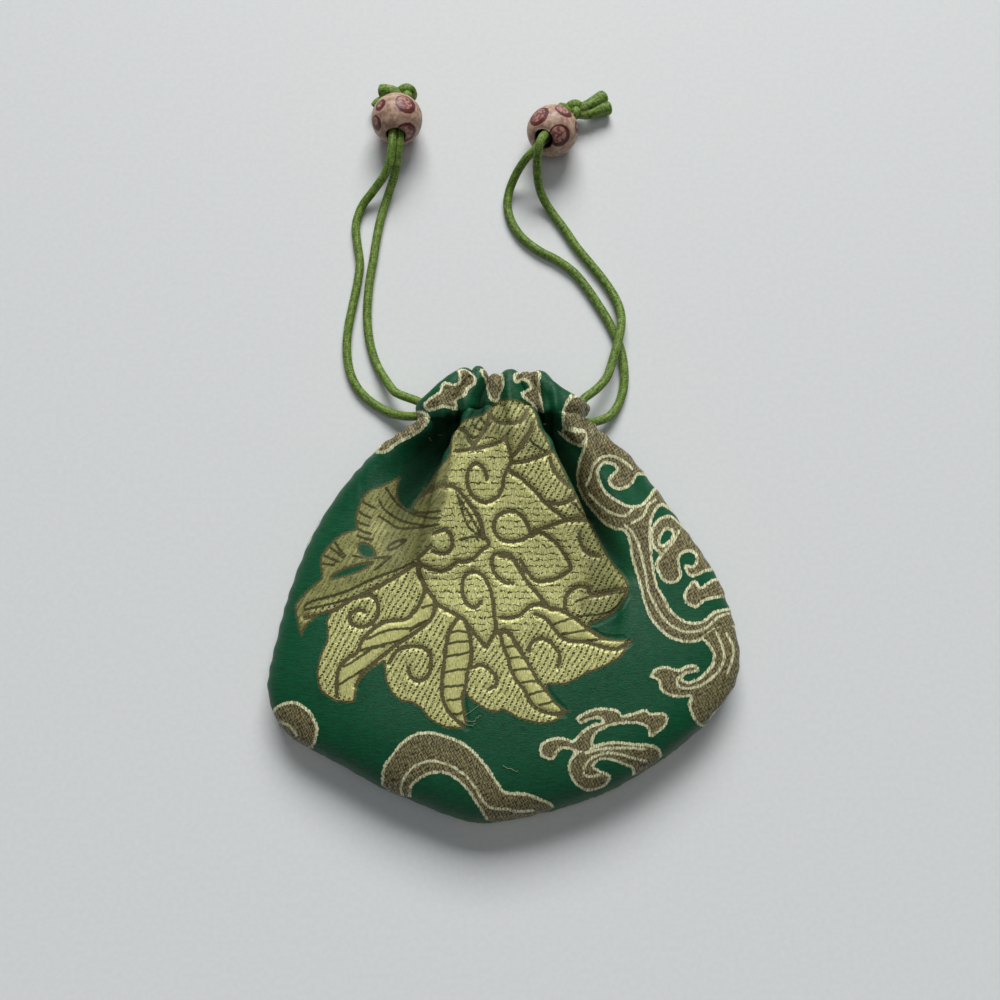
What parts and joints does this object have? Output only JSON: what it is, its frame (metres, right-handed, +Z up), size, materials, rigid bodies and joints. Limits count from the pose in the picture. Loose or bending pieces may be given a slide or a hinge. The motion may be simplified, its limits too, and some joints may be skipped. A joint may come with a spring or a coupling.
{
  "type": "brocade drawstring pouch",
  "caption": "Small flowered brocade pouch lying on its back, its hem gathered on two drawcords that each end in a drilled round bead and a knot.",
  "frame": {"origin": "on the surface that the pouch lies on, under the middle of the pouch without its free cords", "axes": "+X to the right as seen from above, +Y from the bottom point to the gathered mouth, +Z up off the surface"},
  "size_m": [0.1026, 0.1716, 0.0197],
  "materials": {
    "brocade": "green satin brocade with pale gold flower and brown cloud figures",
    "rattail": "glossy satin cord",
    "bead_wood": "pale wood printed with dark red rings, satin varnish"
  },
  "bodies": {
    "root": {"front_panel": "brocade", "back_panel": "brocade", "drawcord_left_in_casing": "rattail", "drawcord_right_in_casing": "rattail", "drawcord_left_strand_a": "rattail", "drawcord_left_strand_b": "rattail", "drawcord_right_strand_a": "rattail", "drawcord_right_strand_b": "rattail", "bead_left": "bead_wood", "bead_right": "bead_wood", "knot_left": "rattail", "knot_right": "rattail"}
  },
  "joints": []
}
